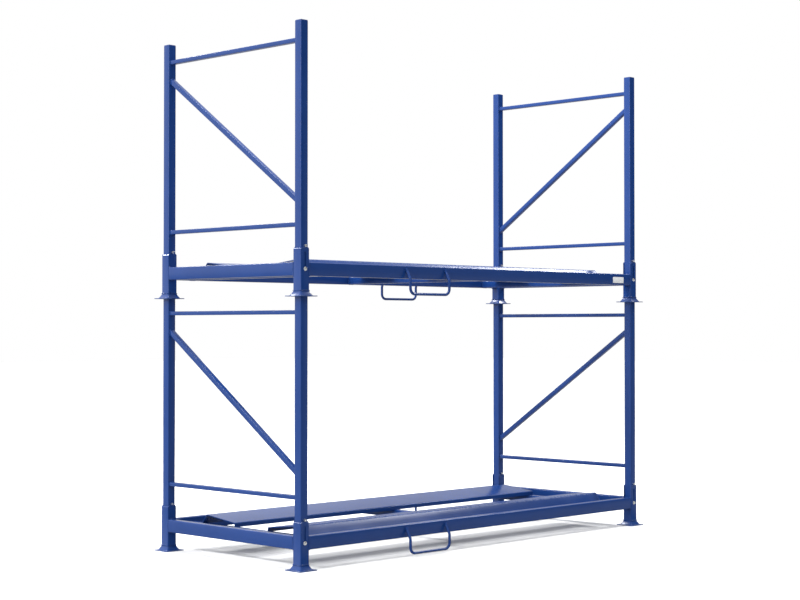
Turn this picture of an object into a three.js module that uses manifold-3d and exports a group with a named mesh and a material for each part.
// A stackable tyre storage rack: two equal tiers of painted steel, one standing on the other.
// Each tier is a low welded base with two tyre trays, and two end frames that fold inwards over it.
// Millimetres, +Z up, origin on the floor at the middle of the footprint, +X along the rack.
// Positive X is the right end and positive Y is the back. Heights in a tier start at its feet.
import * as THREE from "three";
import { mergeVertices } from "three/addons/utils/BufferGeometryUtils.js";
import Module from "manifold-3d";

// Driving dimensions.
const BAY_LENGTH = 2548; // between post centres, along X
const BAY_DEPTH = 1010; // between post centres, along Y
const TIER_PITCH = 1285; // from the feet of one tier to the feet of the next
const POST_TOP = 1303; // the post's top, which stands inside the foot above
const GAP = 0.3; // between pieces that touch

// Legs: a square sleeve on a flared foot that drops over the post below.
const SLEEVE = 55;
const SLEEVE_BORE = 47;
const SLEEVE_TOP = 232;
const FLANGE = 110;
const FLANGE_THICK = 4;
const FLARE_TOP = 28;
const FLARE = [
  { half: 41, z: 4 },
  { half: 36, z: 9 },
  { half: 31.5, z: 16 },
]; // the hollow curve of its outside, from the flange up
const FLARE_WALL = 3.5;
const FLARE_INSIDE_DROP = 2; // the inside curve lies this much lower
const STOP_PLATE = 4; // crosses the sleeve and rests on the post below
const RIM_CHAMFER = 9;

// Base beams and cross members.
const BEAM_TOP = 161;
const BEAM_HEIGHT = 64;
const BEAM_DEPTH = 40;
const BEAM_NOTCH = 3; // set back at the long beams' ends, above the pivot, where the post sweeps
const TUBE_WALL = 3;
const CROSS_TUBE = 40;
const CROSS_TOP = 138;
const CROSS_FROM_POST = 140; // the end cross members, from the post centres

// Tyre trays: a ridge along the outside and a top that slopes down to the middle.
const TRAY_SHEET = 4;
const TRAY_RIDGE_Y = BAY_DEPTH / 2 - 155;
const TRAY_RIDGE_Z = 186;
const TRAY_INNER_Y = BAY_DEPTH / 2 - 380;
const TRAY_INNER_Z = 161;
const TRAY_FLANK_ANGLE = THREE.MathUtils.degToRad(52);
const TRAY_END = 122; // from the post centres to the tray's ends

// Fork loops: a bent bar welded to the outside of each long beam.
const LOOP_ROD = 14;
const LOOP_WIDTH = 283; // between the centres of its legs
const LOOP_CENTRE = BAY_LENGTH / 2 - 817;
const LOOP_WELD_TOP = 150;
const LOOP_BEND_TOP = 136;
const LOOP_BEND_LOW = 92;
const LOOP_BOTTOM = 20;
const LOOP_REACH = 23; // how far the bend carries the bar outwards
const LOOP_CORNER = 30;

// End frames: two posts, two bars and a diagonal.
const POST = 45;
const POST_WALL = 3;
const POST_CAP = 4;
const BAR_HEIGHT = 20;
const BAR_DEPTH = 30;
const BAR_WALL = 2;
const TOP_BAR_Z = 1211;
const LOWER_BAR_Z = 340;
const DIAGONAL_HIGH = 1114; // where its centre line meets the post
const DIAGONAL_LOW = 455;
const DIAGONAL_TUBE = 25;

// The fold: the post turns on the pivot bolt, which rises in a slot as it turns.
const PIVOT_Z = BEAM_TOP - 31;
const PIVOT_RISE = 74;
const BOLT_RADIUS = 6;
const BOLT_HEAD_RADIUS = 10;
const BOLT_HEAD = 8;
const HOLE_RADIUS = 6.6;
const STOP_PIN_Z = SLEEVE_TOP + BOLT_RADIUS + GAP;

// A blank plate on the upper front beam.
const PLATE_LENGTH = 98;
const PLATE_HEIGHT = 34;
const PLATE_THICK = 1.2;
const PLATE_X = BAY_LENGTH / 2 - 144;
const PLATE_DROP = 4; // below the beam's middle

const wasm = await Module();
wasm.setup();

// A closed three.js geometry as a solid that can be joined and cut.
function solid(geometry) {
  const bare = geometry.index ? geometry.toNonIndexed() : geometry.clone();
  bare.deleteAttribute("normal");
  bare.deleteAttribute("uv");
  const merged = mergeVertices(bare, 1e-3);
  const corners = merged.index.array;
  const triangles = [];
  for (let i = 0; i < corners.length; i += 3) {
    const [a, b, c] = corners.slice(i, i + 3);
    if (a !== b && b !== c && c !== a) triangles.push(a, b, c);
  }
  return new wasm.Manifold(
    new wasm.Mesh({
      numProp: 3,
      vertProperties: merged.attributes.position.array,
      triVerts: new Uint32Array(triangles),
    }),
  );
}

// The finished solid as a geometry for a mesh.
function finished(shape) {
  const mesh = shape.getMesh();
  const geometry = new THREE.BufferGeometry();
  geometry.setAttribute("position", new THREE.BufferAttribute(mesh.vertProperties, 3));
  geometry.setIndex(new THREE.BufferAttribute(mesh.triVerts, 1));
  const flat = geometry.toNonIndexed();
  flat.computeVertexNormals();
  return flat;
}

// A box between two corners.
function block(low, high) {
  const size = new THREE.Vector3().subVectors(high, low);
  const middle = new THREE.Vector3().addVectors(low, high).multiplyScalar(0.5);
  const geometry = new THREE.BoxGeometry(size.x, size.y, size.z);
  return solid(geometry.translate(middle.x, middle.y, middle.z));
}

// A box of a given width and depth around a vertical line, between two heights.
function column(width, depth, low, high) {
  const half = new THREE.Vector2(width, depth).multiplyScalar(0.5);
  const from = new THREE.Vector3(-half.x, -half.y, low);
  const to = new THREE.Vector3(half.x, half.y, high);
  return block(from, to);
}

// A round bar along Y between two ends, at a height.
function barAlongY(radius, from, to, height, sides) {
  const geometry = new THREE.CylinderGeometry(radius, radius, to - from, sides);
  return solid(geometry.translate(0, (from + to) / 2, height));
}

// An outline in X and Z, carried along Y between two ends.
function prismAlongY(outline, from, to) {
  const options = { depth: to - from, bevelEnabled: false, curveSegments: 8 };
  const geometry = new THREE.ExtrudeGeometry(outline, options);
  return solid(geometry.rotateX(Math.PI / 2).translate(0, to, 0));
}

// An outline in Y and Z, carried along X and centred on it.
function prismAlongX(outline, length) {
  const geometry = new THREE.ExtrudeGeometry(outline, { depth: length, bevelEnabled: false });
  geometry.translate(0, 0, -length / 2);
  return solid(geometry.rotateX(Math.PI / 2).rotateZ(Math.PI / 2));
}

// An open-ended rectangular tube along X or Y, centred on its middle.
function tube(axis, length, width, height, wall) {
  const size = { x: width, y: width, z: height };
  size[axis] = length;
  const bore = { x: width - 2 * wall, y: width - 2 * wall, z: height - 2 * wall };
  bore[axis] = length + 2;
  const outer = solid(new THREE.BoxGeometry(size.x, size.y, size.z));
  return outer.subtract(solid(new THREE.BoxGeometry(bore.x, bore.y, bore.z)));
}

// The leg at the right back corner: outwards is +X and +Y.
function legGeometry() {
  const half = SLEEVE / 2;
  const bore = SLEEVE_BORE / 2;
  const plateLow = POST_TOP - TIER_PITCH + GAP;
  const outside = FLARE.map(({ half: width, z }) => [width, z]);
  const inside = outside.map(([width, z], i) => [width - FLARE_WALL, i ? z - FLARE_INSIDE_DROP : 0]);
  const profile = [
    [0, plateLow],
    [bore + GAP, plateLow],
    ...inside.reverse(),
    [FLANGE / 2, 0],
    [FLANGE / 2, FLANGE_THICK],
    ...outside,
    [half, FLARE_TOP],
    [half, SLEEVE_TOP],
    [bore, SLEEVE_TOP],
    [bore, plateLow + STOP_PLATE],
    [0, plateLow + STOP_PLATE],
  ];
  // Four sides make the turned profile square, so each half width is a radius to a corner.
  const points = profile.map(([r, z]) => new THREE.Vector2(r * Math.SQRT2, z));
  const square = new THREE.LatheGeometry(points, 4, Math.PI / 4);
  let leg = solid(square.rotateX(Math.PI / 2));

  const slot = new THREE.Shape();
  const slotHalf = BOLT_RADIUS + GAP;
  slot.absarc(0, PIVOT_Z, slotHalf, Math.PI, 2 * Math.PI, false);
  slot.absarc(0, PIVOT_Z + PIVOT_RISE, slotHalf, 0, Math.PI, false);
  leg = leg.subtract(prismAlongY(slot, bore - 3, half + 3));

  // The wall that faces the middle of the rack is open above the pivot, so that the post can fold.
  const doorLow = new THREE.Vector3(-half - 5, -bore, PIVOT_Z);
  const doorHigh = new THREE.Vector3(0, bore, SLEEVE_TOP + 5);
  leg = leg.subtract(block(doorLow, doorHigh));

  for (const side of [-1, 1]) {
    const corner = new THREE.Shape();
    corner.moveTo(side * (half + 1), SLEEVE_TOP - RIM_CHAMFER - 1);
    corner.lineTo(side * (half + 1), SLEEVE_TOP + 1);
    corner.lineTo(side * (half - RIM_CHAMFER - 1), SLEEVE_TOP + 1);
    leg = leg.subtract(prismAlongY(corner, -half - 1, half + 1));
  }
  return finished(leg);
}

// The back long beam around its own middle. Behind its outer wall each end is notched, so that the
// post clears it as it folds.
function longBeamGeometry(length) {
  let beam = tube("x", length, BEAM_DEPTH, BEAM_HEIGHT, TUBE_WALL);
  const outerWall = BEAM_DEPTH / 2 - TUBE_WALL;
  for (const end of [-1, 1]) {
    const ends = [(end * length) / 2 - end * BEAM_NOTCH, (end * length) / 2 + end];
    const low = new THREE.Vector3(Math.min(...ends), -BEAM_DEPTH, PIVOT_Z - BEAM_TOP + BEAM_HEIGHT / 2);
    const high = new THREE.Vector3(Math.max(...ends), outerWall, BEAM_HEIGHT);
    beam = beam.subtract(block(low, high));
  }
  return finished(beam);
}

// A post with its round heel, the pivot hole and the stop pin through it.
function postGeometry() {
  const half = POST / 2;
  const inside = POST - 2 * POST_WALL;
  const reach = SLEEVE / 2 + BOLT_HEAD - 2;
  const shaft = column(POST, POST, PIVOT_Z, POST_TOP);
  const heel = barAlongY(half, -half, half, PIVOT_Z, 24);
  const hollow = column(inside, inside, PIVOT_Z - POST, POST_TOP - POST_CAP);
  const hole = barAlongY(HOLE_RADIUS, -half - 1, half + 1, PIVOT_Z, 16);
  const pin = barAlongY(BOLT_RADIUS, -reach, reach, STOP_PIN_Z, 12);
  return finished(shaft.add(heel).subtract(hollow).subtract(hole).add(pin));
}

// A bolt through the post with its head outside the slotted wall, on the +Y side.
function pivotBoltGeometry() {
  const wall = SLEEVE / 2 + GAP;
  const shaft = barAlongY(BOLT_RADIUS, -POST / 2, wall + 1, PIVOT_Z, 12);
  const head = barAlongY(BOLT_HEAD_RADIUS, wall, wall + BOLT_HEAD, PIVOT_Z, 6);
  return finished(shaft.add(head));
}

// The diagonal of the right end frame: high at the front post and low at the back post.
function diagonalGeometry() {
  const reach = (BAY_DEPTH - POST) / 2 - GAP;
  const drop = DIAGONAL_HIGH - DIAGONAL_LOW;
  const slope = Math.atan2(drop, BAY_DEPTH - POST);
  const outline = (height, over) => {
    const up = height / 2 / Math.cos(slope);
    const rise = Math.tan(slope) * over;
    const shape = new THREE.Shape();
    shape.moveTo(-reach - over, DIAGONAL_HIGH - up + rise);
    shape.lineTo(reach + over, DIAGONAL_LOW - up - rise);
    shape.lineTo(reach + over, DIAGONAL_LOW + up - rise);
    shape.lineTo(-reach - over, DIAGONAL_HIGH + up + rise);
    return shape;
  };
  const outer = prismAlongX(outline(DIAGONAL_TUBE, 0), DIAGONAL_TUBE);
  const bore = DIAGONAL_TUBE - 2 * BAR_WALL;
  const inner = prismAlongX(outline(bore, 2), bore);
  return finished(outer.subtract(inner));
}

// The folded sheet of the back tray.
function trayGeometry() {
  const base = CROSS_TOP + GAP;
  const below = base - 3 * TRAY_SHEET;
  const footY = TRAY_RIDGE_Y + (TRAY_RIDGE_Z - below) / Math.tan(TRAY_FLANK_ANGLE);
  const top = [
    new THREE.Vector2(footY, below),
    new THREE.Vector2(TRAY_RIDGE_Y, TRAY_RIDGE_Z),
    new THREE.Vector2(TRAY_INNER_Y, TRAY_INNER_Z),
    new THREE.Vector2(TRAY_INNER_Y, below),
  ];
  // The underside runs parallel to the top, one sheet thickness inside each bend.
  const inwards = top.slice(1).map((point, i) => {
    const along = new THREE.Vector2().subVectors(point, top[i]).normalize();
    return new THREE.Vector2(-along.y, along.x);
  });
  const underside = top.map((point, i) => {
    const arriving = inwards[Math.max(i - 1, 0)];
    const leaving = inwards[Math.min(i, inwards.length - 1)];
    const mitre = TRAY_SHEET / (1 + arriving.dot(leaving));
    return point.clone().add(arriving.clone().add(leaving).multiplyScalar(mitre));
  });
  const length = BAY_LENGTH - 2 * TRAY_END;
  const sheet = prismAlongX(new THREE.Shape([...top, ...underside.reverse()]), length);
  const under = column(length + 10, BAY_DEPTH * 2, below - 20, base);
  return finished(sheet.subtract(under));
}

// The fork loop on the back beam, around the middle of its own width.
function loopGeometry() {
  const half = LOOP_WIDTH / 2;
  const near = SLEEVE / 2 + LOOP_ROD / 2 + GAP;
  const far = near + LOOP_REACH;
  const corners = [
    new THREE.Vector3(-half, near, LOOP_WELD_TOP),
    new THREE.Vector3(-half, near, LOOP_BEND_TOP),
    new THREE.Vector3(-half, far, LOOP_BEND_LOW),
    new THREE.Vector3(-half, far, LOOP_BOTTOM),
    new THREE.Vector3(half, far, LOOP_BOTTOM),
    new THREE.Vector3(half, far, LOOP_BEND_LOW),
    new THREE.Vector3(half, near, LOOP_BEND_TOP),
    new THREE.Vector3(half, near, LOOP_WELD_TOP),
  ];
  const path = new THREE.CurvePath();
  let from = corners[0];
  for (let i = 1; i < corners.length - 1; i += 1) {
    const here = corners[i];
    const atBottom = here.z === LOOP_BOTTOM;
    const round = atBottom ? LOOP_CORNER : LOOP_ROD / 2;
    const arrive = here.clone().lerp(corners[i - 1], round / here.distanceTo(corners[i - 1]));
    const leave = here.clone().lerp(corners[i + 1], round / here.distanceTo(corners[i + 1]));
    path.add(new THREE.LineCurve3(from, arrive));
    path.add(new THREE.QuadraticBezierCurve3(arrive, here, leave));
    from = leave;
  }
  path.add(new THREE.LineCurve3(from, corners[corners.length - 1]));
  const section = new THREE.Shape();
  section.absarc(0, 0, LOOP_ROD / 2, 0, 2 * Math.PI, false);
  const options = { extrudePath: path, steps: 48, curveSegments: 4, bevelEnabled: false };
  return finished(solid(new THREE.ExtrudeGeometry(section, options)));
}

const paint = new THREE.MeshStandardMaterial({ color: 0x24468c, roughness: 0.42, metalness: 0.1 });
const zinc = new THREE.MeshStandardMaterial({ color: 0xc9cdd2, roughness: 0.3, metalness: 0.9 });
const blank = new THREE.MeshStandardMaterial({ color: 0xe9ecef, roughness: 0.5, metalness: 0 });

const rack = new THREE.Group();

// Puts a piece in a group. Flips of 1 or -1 turn or mirror a piece that was made for the right back.
function place(group, name, geometry, material, position, flips = [1, 1]) {
  const mesh = new THREE.Mesh(geometry, material);
  mesh.name = name;
  mesh.position.set(...position);
  mesh.scale.set(flips[0], flips[1], 1);
  group.add(mesh);
}

const halfLength = BAY_LENGTH / 2;
const halfDepth = BAY_DEPTH / 2;
const beamInset = (SLEEVE - BEAM_DEPTH) / 2; // keeps a beam's outer face flush with the sleeves
const beamZ = BEAM_TOP - BEAM_HEIGHT / 2;
const longBeamLength = BAY_LENGTH - SLEEVE - 2 * GAP;
const endBeamLength = BAY_DEPTH - SLEEVE - 2 * GAP;
const crossLength = BAY_DEPTH + SLEEVE - 2 * BEAM_DEPTH - 2 * GAP;
const barLength = BAY_DEPTH - POST - 2 * GAP;

const leg = legGeometry();
const post = postGeometry();
const pivotBolt = pivotBoltGeometry();
const diagonal = diagonalGeometry();
const tray = trayGeometry();
const loop = loopGeometry();
const longBeam = longBeamGeometry(longBeamLength);
const endBeam = finished(tube("y", endBeamLength, BEAM_DEPTH, BEAM_HEIGHT, TUBE_WALL));
const crossMember = finished(tube("y", crossLength, CROSS_TUBE, CROSS_TUBE, TUBE_WALL));
const bar = finished(tube("y", barLength, BAR_DEPTH, BAR_HEIGHT, BAR_WALL));

const CORNERS = { front_left: [-1, -1], front_right: [1, -1], back_left: [-1, 1], back_right: [1, 1] };
const SIDES = { front: -1, back: 1 };
const ENDS = { left: -1, right: 1 };

function addTier(tier, base) {
  const group = new THREE.Group();
  group.position.z = base;
  for (const [corner, flips] of Object.entries(CORNERS)) {
    const foot = [flips[0] * halfLength, flips[1] * halfDepth, 0];
    place(group, `${tier}_leg_${corner}`, leg, paint, foot, flips);
    place(group, `${tier}_post_${corner}`, post, paint, foot, flips);
    place(group, `${tier}_pivot_bolt_${corner}`, pivotBolt, zinc, foot, flips);
  }
  for (const [side, sign] of Object.entries(SIDES)) {
    const beamAt = [0, sign * (halfDepth + beamInset), beamZ];
    const turned = [sign, sign];
    place(group, `${tier}_${side}_beam`, longBeam, paint, beamAt, turned);
    place(group, `${tier}_${side}_tray`, tray, paint, [0, 0, 0], turned);
    place(group, `${tier}_${side}_fork_loop`, loop, paint, [sign * LOOP_CENTRE, sign * halfDepth, 0], turned);
  }
  for (const [end, sign] of Object.entries(ENDS)) {
    const turned = [sign, sign];
    const frameX = sign * halfLength;
    place(group, `${tier}_${end}_end_beam`, endBeam, paint, [frameX + sign * beamInset, 0, beamZ], turned);
    place(group, `${tier}_${end}_top_bar`, bar, paint, [frameX, 0, TOP_BAR_Z], turned);
    place(group, `${tier}_${end}_lower_bar`, bar, paint, [frameX, 0, LOWER_BAR_Z], turned);
    place(group, `${tier}_${end}_diagonal`, diagonal, paint, [frameX, 0, 0], turned);
    const crossX = sign * (halfLength - CROSS_FROM_POST);
    place(group, `${tier}_${end}_cross_member`, crossMember, paint, [crossX, 0, CROSS_TOP - CROSS_TUBE / 2]);
  }
  place(group, `${tier}_middle_cross_member`, crossMember, paint, [0, 0, CROSS_TOP - CROSS_TUBE / 2]);
  rack.add(group);
}

addTier("lower", 0);
addTier("upper", TIER_PITCH);

const plateY = -halfDepth - SLEEVE / 2 - GAP - PLATE_THICK / 2;
const plate = new THREE.BoxGeometry(PLATE_LENGTH, PLATE_THICK, PLATE_HEIGHT);
place(rack, "blank_plate", plate, blank, [PLATE_X, plateY, TIER_PITCH + beamZ - PLATE_DROP]);

export default rack;
